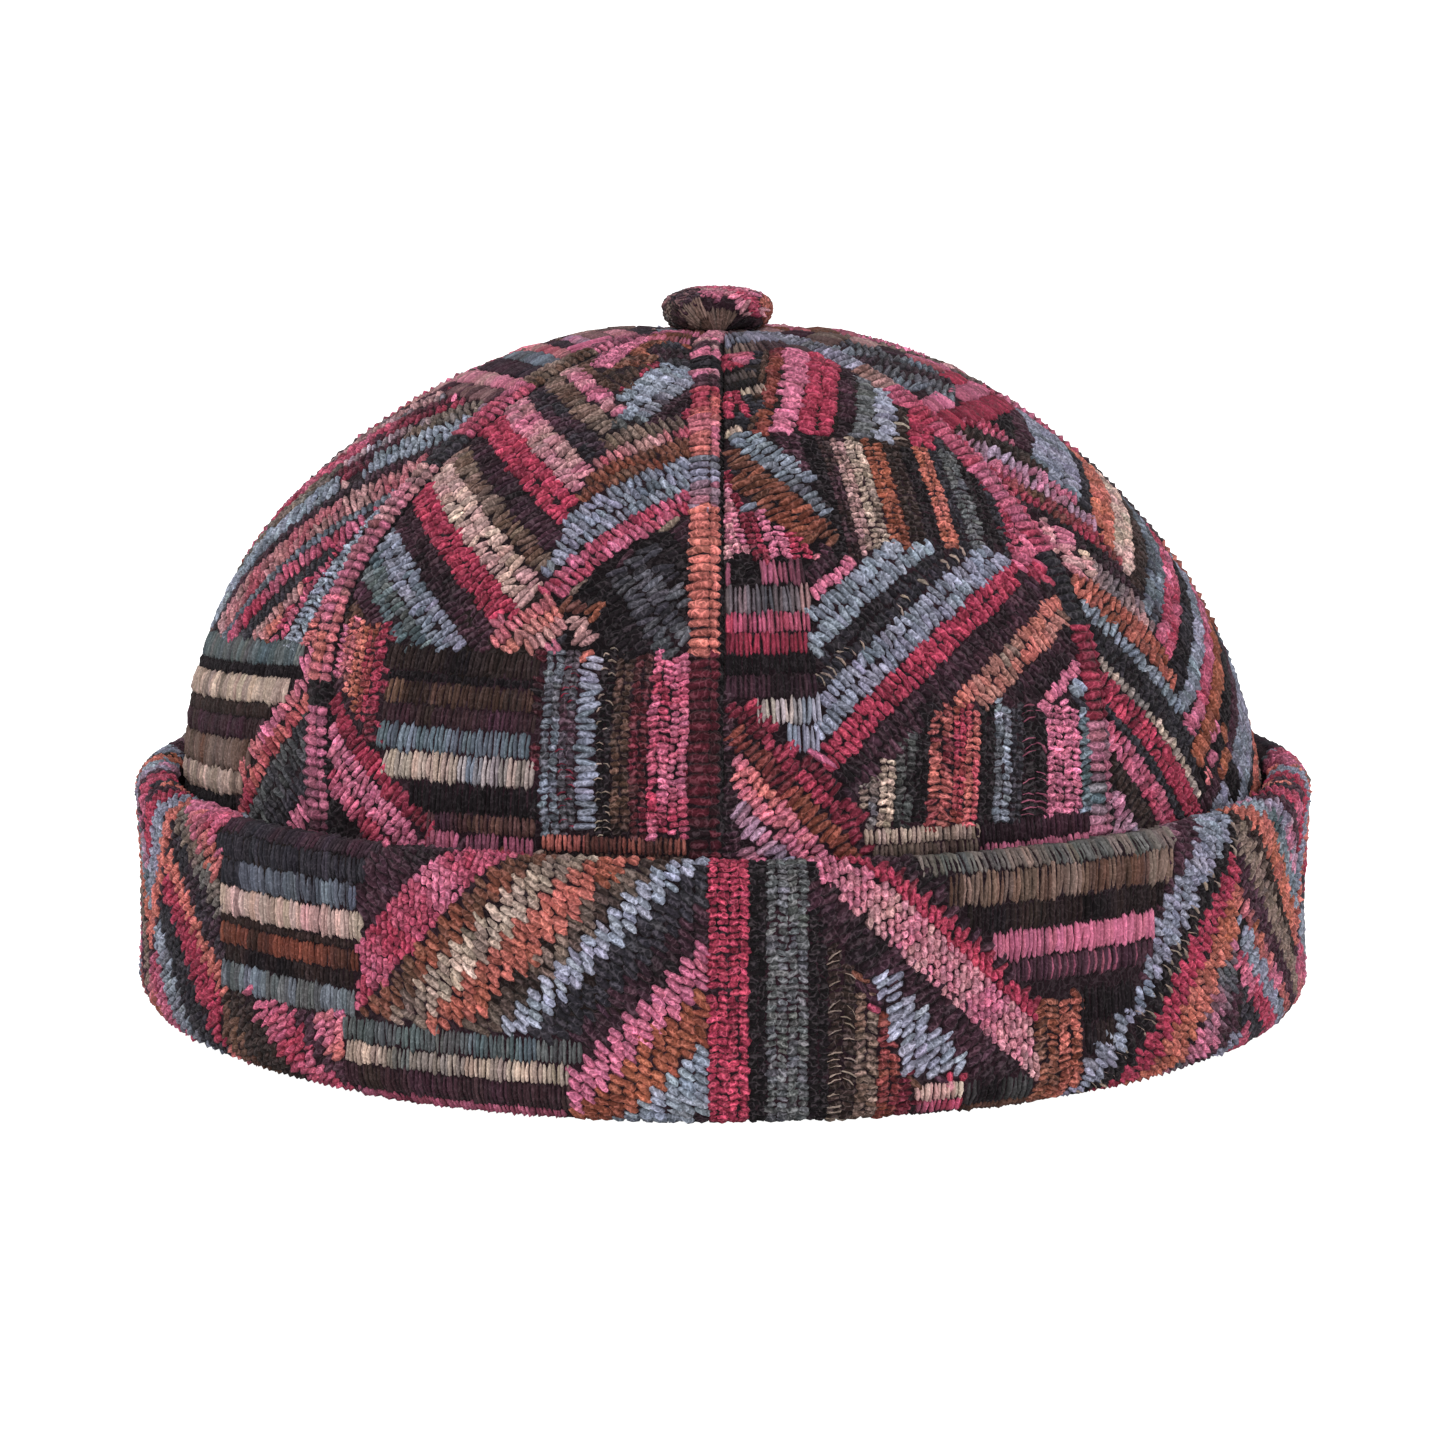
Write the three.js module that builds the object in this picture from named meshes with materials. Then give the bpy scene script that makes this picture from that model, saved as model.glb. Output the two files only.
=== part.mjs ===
import * as THREE from 'three';
import { mergeVertices } from 'three/addons/utils/BufferGeometryUtils.js';

// Docker beanie, in millimetres, standing on its cuff: +Z up, the front towards -Y.
// The origin is the centre of the cuff at the level of its lower fold.

// Driving dimensions
const GAP = 0.3;
const CLOTH = 2.5;
const PANELS = 8;

const CUFF_RADIUS = 100;
const CUFF_HEIGHT = 39.8;
const CUFF_WAIST = 0.6;
const RIM_ROLL = 3.7;
const FOLD_OUTER = 5.5;
const FOLD_INNER = 3.2;
const FOLD_FLOOR = 6;
const BAND_INNER = 92.6;

const BUTTON_RADIUS = 9.75;
const BUTTON_THICKNESS = 7;
const BUTTON_POST = 2.2;

const LAP_WIDTH = 5;
const LAP_SHARE = 0.3;
// The two seams between front and side panels bow: how far, in degrees, and between which heights
const BOW_FOOT = -4;
const BOW_BELLY = 1.8;
const BOW_HEIGHTS = { foot: 36, belly: 80, top: 108 };

const RELIEF_START = 38;
const RELIEF_FULL = 54;
const SEAT_RADIUS = 8;
const SEAT_BLEND = 12;

const ROWS_UP = 18;
const CUFF_STEPS = 72;
const CUFF_ARC_STEPS = 3;
const BUTTON_STEPS = 24;
const BUTTON_ARC_STEPS = 6;
const WELD = 0.001;

// Outer outline of the crown: height, radius, and how far the soft crown leans along X
const CROWN_OUTLINE = [
  { height: FOLD_FLOOR + GAP, radius: BAND_INNER - GAP, lean: 0 },
  { height: 22, radius: BAND_INNER - GAP, lean: 0 },
  { height: 35, radius: 92.1, lean: 0 },
  { height: 43, radius: 91.5, lean: -0.5 },
  { height: 51, radius: 89.7, lean: -1.1 },
  { height: 64.4, radius: 84.6, lean: -1.7 },
  { height: 77.7, radius: 76.4, lean: -2.5 },
  { height: 91, radius: 63.4, lean: -2.3 },
  { height: 101, radius: 49.4, lean: -1.9 },
  { height: 107.7, radius: 35.4, lean: -1.4 },
  { height: 111.6, radius: 20, lean: -1 },
  { height: 112.6, radius: BUTTON_POST + GAP, lean: -0.9 },
];

// Relief across one panel, from the seam on its right edge: the lapped and topstitched strip first,
// then the puffed field of the panel. Lift is in millimetres above the outline.
const PANEL_RELIEF = [
  { strip: 0, field: 0, lift: -0.7 },
  { strip: 0.22, field: 0, lift: 0.5 },
  { strip: 0.62, field: 0, lift: 0.7 },
  { strip: 1, field: 0, lift: -0.5 },
  { strip: 1, field: 0.12, lift: 0.4 },
  { strip: 1, field: 0.36, lift: 1 },
  { strip: 1, field: 0.64, lift: 1 },
  { strip: 1, field: 0.88, lift: 0.4 },
  { strip: 1, field: 1, lift: -0.7 },
];

// Colours and finishes seen in the cloth
const WOVEN_PLUM = new THREE.MeshStandardMaterial({ color: 0x6b3f4d, roughness: 0.95, metalness: 0 });
const WOVEN_ROSE = new THREE.MeshStandardMaterial({ color: 0x8a5362, roughness: 0.95, metalness: 0 });
const BUTTON_BROWN = new THREE.MeshStandardMaterial({ color: 0x5a3f3e, roughness: 0.95, metalness: 0 });

// A closed body with its shared corners merged and its empty triangles left out
function closedBody(source) {
  source.deleteAttribute('normal');
  source.deleteAttribute('uv');
  const welded = mergeVertices(source, WELD);
  const corners = welded.getIndex().array;
  const kept = [];
  for (let i = 0; i < corners.length; i += 3) {
    const [a, b, c] = [corners[i], corners[i + 1], corners[i + 2]];
    if (a !== b && b !== c && c !== a) {
      kept.push(a, b, c);
    }
  }
  welded.setIndex(kept);
  welded.computeVertexNormals();
  return welded;
}

function turnedBody(section, steps) {
  const body = new THREE.LatheGeometry(section, steps);
  body.rotateX(Math.PI / 2);
  return closedBody(body);
}

const crownCurve = new THREE.CatmullRomCurve3(
  CROWN_OUTLINE.map((row) => new THREE.Vector3(row.radius, row.lean, row.height)),
  false,
  'centripetal',
);

// The outline's point and outward direction at a share of its length
function crownStation(share) {
  const point = crownCurve.getPointAt(share);
  const along = crownCurve.getTangentAt(share);
  const length = Math.hypot(along.x, along.z);
  return {
    radius: point.x,
    lean: point.y,
    height: point.z,
    outRadial: along.z / length,
    outUp: -along.x / length,
  };
}

// Azimuth of a seam, from the front towards +X; only the two diagonal seams at the front bow
function seamAzimuth(index, height) {
  const azimuth = (index * 2 * Math.PI) / PANELS;
  const rise = THREE.MathUtils.smoothstep(height, BOW_HEIGHTS.foot, BOW_HEIGHTS.belly);
  const fall = THREE.MathUtils.smoothstep(height, BOW_HEIGHTS.belly, BOW_HEIGHTS.top);
  const bow = BOW_FOOT + (BOW_BELLY - BOW_FOOT) * rise - BOW_BELLY * fall;
  const diagonal = Math.SQRT2 * Math.max(Math.cos(azimuth), 0) * Math.sin(2 * azimuth);
  return azimuth + THREE.MathUtils.degToRad(bow) * diagonal;
}

// Distance from the hat's own axis to a circle whose centre has leaned aside, so that the seams
// stay in their planes while the crown is fuller on one side
function leaningReach(radius, lean, azimuth) {
  const aside = lean * Math.cos(azimuth);
  return lean * Math.sin(azimuth) + Math.sqrt(radius * radius - aside * aside);
}

// One gore of the crown: a block of cloth bent onto the outline between two seams
function crownPanel(index) {
  const across = PANEL_RELIEF.length - 1;
  const gore = new THREE.BoxGeometry(1, 1, 1, across, 1, ROWS_UP);
  const corners = gore.getAttribute('position');
  for (let i = 0; i < corners.count; i += 1) {
    const column = Math.round((0.5 - corners.getX(i)) * across);
    const outside = corners.getY(i) < 0;
    const station = crownStation(corners.getZ(i) + 0.5);
    const row = PANEL_RELIEF[column];
    const aboveRim = THREE.MathUtils.smoothstep(station.height, RELIEF_START, RELIEF_FULL);
    const offSeat = THREE.MathUtils.smoothstep(station.radius, SEAT_RADIUS, SEAT_RADIUS + SEAT_BLEND);
    const relief = aboveRim * offSeat;
    const lift = outside ? row.lift * relief : -CLOTH;
    const radius = Math.max(station.radius + lift * station.outRadial, BUTTON_POST + GAP);
    const rightSeam = seamAzimuth(index, station.height);
    const width = radius * (rightSeam - seamAzimuth(index - 1, station.height)) - GAP;
    const strip = Math.min(LAP_WIDTH, width * LAP_SHARE);
    const inward = GAP / 2 + row.strip * strip + row.field * (width - strip);
    const azimuth = rightSeam - inward / radius;
    const reach = leaningReach(radius, station.lean, azimuth);
    corners.setXYZ(
      i,
      reach * Math.sin(azimuth),
      -reach * Math.cos(azimuth),
      station.height + lift * station.outUp,
    );
  }
  return closedBody(gore);
}

// The turned-up cuff: a doubled band with a soft roll at its rim and a rounded fold below,
// whose inner lip carries the lower edge of the crown
function cuffBand() {
  const section = new THREE.Path();
  const crownInner = BAND_INNER - GAP - CLOTH;
  const rollCentre = CUFF_HEIGHT - RIM_ROLL;
  const outerRoll = CUFF_RADIUS - RIM_ROLL;
  const innerRoll = BAND_INNER + RIM_ROLL;
  const waistHeight = (FOLD_OUTER + rollCentre) / 2;
  section.moveTo(crownInner + FOLD_INNER, 0);
  section.lineTo(CUFF_RADIUS - FOLD_OUTER, 0);
  section.absarc(CUFF_RADIUS - FOLD_OUTER, FOLD_OUTER, FOLD_OUTER, -Math.PI / 2, 0, false);
  section.quadraticCurveTo(CUFF_RADIUS - 2 * CUFF_WAIST, waistHeight, CUFF_RADIUS, rollCentre);
  section.absarc(outerRoll, rollCentre, RIM_ROLL, 0, Math.PI / 2, false);
  section.absarc(innerRoll, rollCentre, RIM_ROLL, Math.PI / 2, Math.PI, false);
  section.lineTo(BAND_INNER, FOLD_FLOOR);
  section.lineTo(crownInner, FOLD_FLOOR);
  section.lineTo(crownInner, FOLD_INNER);
  section.absarc(crownInner + FOLD_INNER, FOLD_INNER, FOLD_INNER, Math.PI, (3 * Math.PI) / 2, false);
  return turnedBody(section.getPoints(CUFF_ARC_STEPS), CUFF_STEPS);
}

// The covered button: a flattened dome on a short post through the hole at the crown's top
function topButton() {
  const section = new THREE.Path();
  const half = BUTTON_THICKNESS / 2;
  const postLength = CLOTH + GAP;
  const edge = BUTTON_RADIUS * 0.62;
  section.moveTo(0, -postLength);
  section.lineTo(BUTTON_POST, -postLength);
  section.lineTo(BUTTON_POST, 0);
  section.lineTo(edge, 0);
  section.bezierCurveTo(BUTTON_RADIUS * 0.9, 0, BUTTON_RADIUS, half * 0.4, BUTTON_RADIUS, half);
  section.bezierCurveTo(BUTTON_RADIUS, half * 1.6, edge, BUTTON_THICKNESS, 0, BUTTON_THICKNESS);
  return turnedBody(section.getPoints(BUTTON_ARC_STEPS), BUTTON_STEPS);
}

function namedMesh(name, geometry, material) {
  const mesh = new THREE.Mesh(geometry, material);
  mesh.name = name;
  return mesh;
}

const group = new THREE.Group();

const crown = new THREE.Group();
for (let index = 1; index <= PANELS; index += 1) {
  const material = index % 2 === 0 ? WOVEN_PLUM : WOVEN_ROSE;
  crown.add(namedMesh(`crown_panel_${index}`, crownPanel(index), material));
}
group.add(crown);

group.add(namedMesh('cuff', cuffBand(), WOVEN_PLUM));

const button = namedMesh('top_button', topButton(), BUTTON_BROWN);
const crownTop = CROWN_OUTLINE[CROWN_OUTLINE.length - 1];
button.position.set(crownTop.lean, 0, crownTop.height + GAP);
group.add(button);

export default group;
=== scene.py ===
import math
from collections import namedtuple

import bpy
import numpy as np
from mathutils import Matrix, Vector
from mathutils.bvhtree import BVHTree


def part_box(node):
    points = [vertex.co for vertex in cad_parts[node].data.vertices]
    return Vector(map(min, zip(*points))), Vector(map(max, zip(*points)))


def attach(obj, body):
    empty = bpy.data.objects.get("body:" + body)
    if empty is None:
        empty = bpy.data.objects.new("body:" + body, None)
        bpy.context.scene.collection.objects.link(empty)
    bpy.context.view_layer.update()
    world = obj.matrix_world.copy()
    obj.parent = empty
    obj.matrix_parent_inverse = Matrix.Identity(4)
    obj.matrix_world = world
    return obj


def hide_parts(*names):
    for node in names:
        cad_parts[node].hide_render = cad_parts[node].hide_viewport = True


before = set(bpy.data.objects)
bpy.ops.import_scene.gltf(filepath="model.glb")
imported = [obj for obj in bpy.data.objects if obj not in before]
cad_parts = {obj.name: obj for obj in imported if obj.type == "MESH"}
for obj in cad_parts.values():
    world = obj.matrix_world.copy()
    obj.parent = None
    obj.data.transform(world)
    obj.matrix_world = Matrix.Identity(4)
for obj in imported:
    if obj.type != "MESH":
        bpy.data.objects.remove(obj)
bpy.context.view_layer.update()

# Docker beanie in a thick patchwork cloth. Blender is in metres; the cloth's charts are in millimetres.
MM = 0.001

# The camera of the photograph, in metres and degrees, with its lens in millimetres
CAMERA_PLACE = (-0.00047, -0.6154, 0.1411)
CAMERA_PITCH = 8.827
CAMERA_LENS = 90.4

# The studio's light from all sides; where the camera sees past the table, it sees plain white
WORLD_LIGHT = 0.56

# The lamps, with their places, sizes and powers, and the point that they shine at
LAMPS = (
    ("key", (-0.3, -0.75, 1.0), 0.5, 3),
    ("front", (0.25, -1.1, 0.3), 0.6, 6),
    ("left", (-1.1, 0.35, 0.4), 0.6, 3.5),
    ("back", (0.75, 1.1, 0.5), 0.6, 4),
)
LAMP_AIM = (0, 0, 0.05)

# The white table, in metres: its size, the steps in which it sweeps up, and the wall behind it
TABLE_SIZE = 6
SWEEP_STEPS = 8
SWEEP_LENGTH = 0.3
WALL_HEIGHT = 3

# Stitches, in millimetres: how far apart they lie and how far they stand out of the cloth, more in a light
# yarn than in a dark one. Chains stand on stripes that run upwards, ribs on level ones, ropes on those
# between, and the cuff's slanting stripes are stacked in wales. A dash is a thin float of another yarn.
CHAIN_WIDTH = 3.2
CHAIN_PITCH = 1.05
CHAIN_LEAN = 0.32
CHAIN_RELIEF = 0.75
ROPE_WIDTH = 2.8
ROPE_PITCH = 1.15
RIB_LENGTH = 7
RIB_PITCH = 1.38
RIB_STRANDS = 0.34
RIB_BEND = 0.1
RIB_OVERLAP = 1.2
WALE = 2.1
SLANT_PITCH = 1.1
SLANT_LONGEST = 2.8
SLANT_TURN = 0.86
SLANT_OVERLAP = 1.45
STRAND_PITCH = 1.5
STITCH_HEIGHT = 0.72
DARK_HEIGHT = 0.7
LIGHT_HEIGHT = 0.6
STITCH_SEAT = -0.05
STITCH_OVERLAP = 1.25
STITCH_ROUGHNESS = 0.08
TABLE_GAP = 0.02
DASH_WIDTH = 0.32
DASH_BEND = 0.4
DASH_EVERY = 2.2
DASH_SHADE = 0.6

# How long a stitch is for the width of its column: alone in its stripe, or one of several
LONE_REACH = 1.2
COLUMN_REACH = 1.3

# A stripe runs level or upright by the sine of its slope
LEVEL = 0.3
UPRIGHT = 0.96

# How much the stitches stray, in shares of their size, in millimetres or in radians; a tilt has a mean and
# a spread
SIZE_STRAY = 0.1
PITCH_STRAY = 0.06
COLUMN_STRAY = 0.09
RIB_WANDER = 0.03
ROPE_WANDER = 0.18
SLANT_WANDER = 0.15
SLANT_STRAY = (0.1, 0.12)
LAP_WANDER = 0.1
TILT = (0.02, 0.04)
SEAT_STRAY = 0.05
STRAND_STRAY = 0.13

# The one bead that every stitch is made of, in shares of its size: where its tips end and how far they dip,
# where its painted shade gives way to light and over what height it grows, and how much darker its ends are
# painted
BEAD_TIP = 0.99
BEAD_DIP = 0.35
BEAD_FOOT = 0.1
BEAD_LIT = 0.8
BEAD_END_SHADE = 0.5

# How fuzzy the yarn looks
RIB_FUZZ = 0.45
ROPE_FUZZ = 1
CHAIN_FUZZ = 1.3
DASH_FUZZ = 0.5

# The yarn's fibres: how many specks and hairs lie on a metre, the painted highlight that the hairs add, and
# how dark the painted shade makes the yarn at a bead's foot
SPECK_SCALE = 2400
HAIR_SCALE = 750
HAIR_PAINTED_HIGHLIGHT = (0.05, 0.042, 0.045)
FOOT_PAINTED_SHADE = 0.4

# The ground lies deeper than the solid's skin. Outside, between the stitches, its colour is darkened as
# painted shade, and it is lighter on the cloth's reverse. Its corners are merged within so many millimetres,
# and its edges are crisp or smooth by their angle.
GROUND_DEPTH = 0.4
GROUND_PAINTED_SHADE = 0.4
REVERSE_SHADE = 1.6
GROUND_YARNS = ("black", "plum", "charcoal", "espresso", "plum")
GROUND_AREAS = 55
MERGE = 0.01
QUAD_BEND = math.radians(40)
QUAD_SKEW = math.radians(60)
CRISP = math.radians(50)
SMOOTH = math.radians(45)
FACING = 0.5

# How a yarn's colour drifts along a row: the lengths of the waves, the share of the second colour, and the
# scatter of that share, of the brightness and of the hue
DRIFT_WAVES = (9, 17, 31)
SECOND_SHARE = 0.4
DRIFT_REACH = 0.6
SHARE_SCATTER = 0.12
BRIGHT_SCATTER = 0.17
BRIGHT_DRIFT = 0.14
HUE_SCATTER = 0.025
TONE_RANGE = (0.002, 0.95)

# The wavy outlines of the patches, in two waves: how far each moves a point, then how fast it turns with x
# and with y, for the move along x and for the move along y
WAVES = (
    (0.5, (1.1, 0.8), (0.9, -1.2)),
    (0.3, (-0.7, 2.3), (2.1, 0.6)),
)

# The crown's panels. Their charts start at the cuff's rim, and rays from outside find the cloth; they start
# this many metres from the hat's middle.
PANELS = 8
PANEL_ANGLE = math.radians(360 / PANELS)
CHART_ZERO = 36 * MM
RAY_REACH = 0.2

# How the outline and the edges of a panel are measured: elevations in degrees, places in millimetres
OUTLINE_LOW = -8
OUTLINE_HIGH = 86
OUTLINE_RAYS = 160
CLOTH_FOOT = -4
CLOTH_TOP = 118
EDGE_STEP = 3
SEAM_SEARCH = 9
SEAM_STEP = 0.15

# The topstitched strip beside a seam: its two columns of stitches, each with its distance from the seam and
# its width, the dark row in the seam itself, and how far the panel's own stitches keep off
LAP_WIDTH = 5.2
LAP_COLUMNS = ((3.4, 3.3), (0.9, 1.6))
LAP_PITCH = 1.6
LAP_FOOT = -3
SEAM_YARN = "black"
SEAM_WIDTH = 1.7
SEAM_HEIGHT = 0.3
SEAM_PITCH = 1
SEAM_OVERLAP = 2.2
SEAM_INSET = 0.1
SEAM_TUCK = 0.8
FIELD_INSET = (0.5, 0.3)

# The cuff's section: rolls at the rim and at the fold, how far it is narrower between them, how far its
# skin reaches under the fold and, in degrees, over the rim, how many points measure it, and how far from
# their ends the stitches start. Then its chart's repeats, its pieces, and how much painted light makes its
# colours lighter than the crown's.
CUFF_RIM_ROLL = 3.7
CUFF_FOLD = 5.5
CUFF_WAIST = 1.2
CUFF_UNDER = 3
CUFF_OVER = 170
CUFF_POINTS = {"fold": 13, "wall": 9, "rim": 25}
CUFF_MARGIN = 1
CUFF_REPEATS = 2.5
CUFF_PIECES = 4
CUFF_PAINTED_LIGHT = 1.08
CUFF_SEED = 20

# The button: how fine its cloth is, how far the cloth reaches round it, how low its stitches lie, and how
# far under its top the rays meet
BUTTON_SCALE = 0.45
BUTTON_STITCH = 0.8
BUTTON_REACH = 13
BUTTON_WRAP = math.radians(118)
BUTTON_RELIEF = 0.45
BUTTON_DEPTH = 5
BUTTON_SEED = 30

# Yarns, as they look in daylight, red, green and blue from 0 to 255
YARNS = {
    "black": (29, 23, 27),
    "charcoal": (50, 47, 54),
    "plum": (72, 45, 57),
    "espresso": (54, 41, 39),
    "burgundy": (104, 38, 52),
    "raspberry": (166, 60, 84),
    "rose": (198, 112, 140),
    "dusty": (184, 140, 142),
    "salmon": (198, 114, 106),
    "orange": (164, 94, 74),
    "rust": (134, 74, 60),
    "brown": (98, 70, 60),
    "taupe": (130, 110, 102),
    "cream": (210, 184, 170),
    "slate": (94, 93, 101),
    "moss": (100, 101, 101),
    "teal": (88, 103, 110),
    "mist": (120, 128, 142),
    "lavender": (150, 147, 168),
    "ice": (154, 160, 176),
}

Stripe = namedtuple("Stripe", "yarn second dash width columns")
Patch = namedtuple("Patch", "corners runs start stripes bow", defaults=(0,))
Strip = namedtuple("Strip", "length yarns")

# The charts. A patch has its corners, the direction that its stripes run in, in degrees from level, a
# point on the outer edge of its first stripe, and its stripes with their widths: from top to bottom
# where they run level, and from left to right where they run upwards. "first/second" is a yarn that
# changes between two colours, and "+dash" a thin float between the stitches. A second number says how many
# columns of stitches fill the stripe. A bow bends the stripes.
# Later patches lie over earlier ones. On a panel, x is measured from its middle and y up from the rim.
FRONT_LEFT = [
    Patch([(-45, -6), (45, -6), (45, 135), (-45, 135)], -41, (-10, 100),
          "rust/brown 4, plum 4, rose/dusty 4, taupe 4"),
    Patch([(-45, 33), (-1, 33), (2, 45), (3, 60), (3, 84), (-2, 92), (-8, 114), (-45, 114)],
          -41, (-10, 100),
          "brown/black 4.2, rose/dusty 3.2, taupe/brown 4.1, charcoal/plum 4.3, dusty/rose 5.2, "
          "raspberry 5.1, plum/black 3.9, taupe/brown 3.6, dusty/cream 5.2, raspberry 4.7, plum/black 4.5, "
          "mist/lavender 4.8, teal/moss 4.5, plum 3"),
    Patch([(-1, 33), (4, 34), (7, 42), (13, 50.5), (21, 59.5), (45, 72), (45, 92), (3, 92), (3, 60),
           (2, 45)], 46, (-5.6, 75.6),
          "dusty 3, charcoal/moss 3, taupe/brown 4, raspberry/dusty 3, rust/brown 5, mist/lavender 7.5, "
          "raspberry/rose 4.6, black 4", 0.0066),
    Patch([(-4, 93), (1, 86), (3, 101), (-2, 101)], 40, (-4, 93), "brown/black 4"),
    Patch([(1.2, 88), (3.2, 79), (8, 79), (20, 84), (16, 101), (2, 101)], 78, (0.8, 86),
          "mist/ice 2.8 1, ice/mist 2.8 1, ice/plum 2.8 1, plum/black 4, raspberry/burgundy 3"),
    Patch([(-9, 95), (-2, 95), (3, 100), (12, 98), (12, 135), (-12, 135)], 88, (-8, 95),
          "rose 4, rust/brown 4, rust/brown 3, plum 5, rose 4"),
    Patch([(-1, 109), (-1, 102), (4, 98.5), (11, 97.5), (9, 107)], 20, (4, 107),
          "black/plum 5, charcoal 4"),
    Patch([(-7, 109), (4, 110), (4, 135), (-7, 135)], 10, (0, 118), "rust/brown 5, rose/rust 3"),
    Patch([(5, 33), (45, 33), (45, 66), (27, 64), (21, 58.5), (13, 49.5), (8, 42)], -50, (28, 62),
          "charcoal 5, plum/black 6, black 5, moss/slate 6, black 5, espresso/salmon 5"),
    Patch([(11, 48), (17, 53), (28, 39), (24, 34), (14, 34), (10, 40)], -50, (24, 46),
          "charcoal/slate 9, black 5"),
    Patch([(-4, 32), (6, 32), (8, 40), (4, 44), (-3, 38)], 46, (-3, 40), "rose/salmon 5, salmon/dusty 5"),
    Patch([(6, 33), (9, 41), (13, 41), (12, 33)], -50, (13, 42), "espresso/orange 4, dusty/brown 3"),
    Patch([(-21.5, 2.5), (7, 2.5), (7, 33), (-21.5, 33)], 0, (0, 33),
          "espresso/black 4.2, black 1.4, espresso/brown 3.6, plum/espresso 3.1, mist/teal 3.9, "
          "cream/mist 4.2, black 4.4, plum/brown 3, rose/plum 4.2"),
    Patch([(7.5, 6), (45, 6), (45, 34), (4, 33.5), (6, 20)], 95, (6.1, 30),
          "slate/mist 2.8, slate/plum+raspberry 2.5, mist/lavender 3.2 1, black+cream 2.2, "
          "espresso/brown 2.8, burgundy/espresso 2.7, raspberry/rose 3.1, rose/raspberry 1.4 1, "
          "rose/raspberry 1.6 1, burgundy/charcoal 2.9, black/burgundy 4"),
    Patch([(8, -6), (45, -6), (45, 6), (8, 6)], 0, (0, 6),
          "espresso/salmon 2.6, black/brown 3, burgundy 3"),
    Patch([(-45, 9), (-21.5, 9), (-21.5, 36), (-45, 36)], 92, (-36, 25),
          "rose 4, salmon/rose 3, salmon/orange 2.4, rust/raspberry 2.2, burgundy/raspberry 4.2"),
    Patch([(-35, 28), (-31.5, 26), (-10.5, 6), (-10.5, -6), (-26, -6), (-35, 10)], -38, (-28.5, 21.5),
          "raspberry/burgundy 3.4, rose 4.4, raspberry/rose 3.4, plum 3"),
    Patch([(-45, 12), (-34, 12), (-25, 3), (-25, -6), (-45, -6)], -38, (-34, 12), "black 6, espresso 5"),
]
FRONT_LEFT_LAP = [
    Strip(37, "burgundy/black"), Strip(26, "salmon"), Strip(6, "raspberry/mist"),
    Strip(5.5, "lavender/slate"), Strip(10, "salmon/rose"), Strip(9.5, "raspberry/salmon"),
    Strip(3.5, "plum"), Strip(2.4, "rose/dusty"), Strip(5.6, "black/charcoal"), Strip(3.2, "rose"),
    Strip(7, "plum/dusty"), Strip(20, "rose/dusty"),
]

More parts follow.
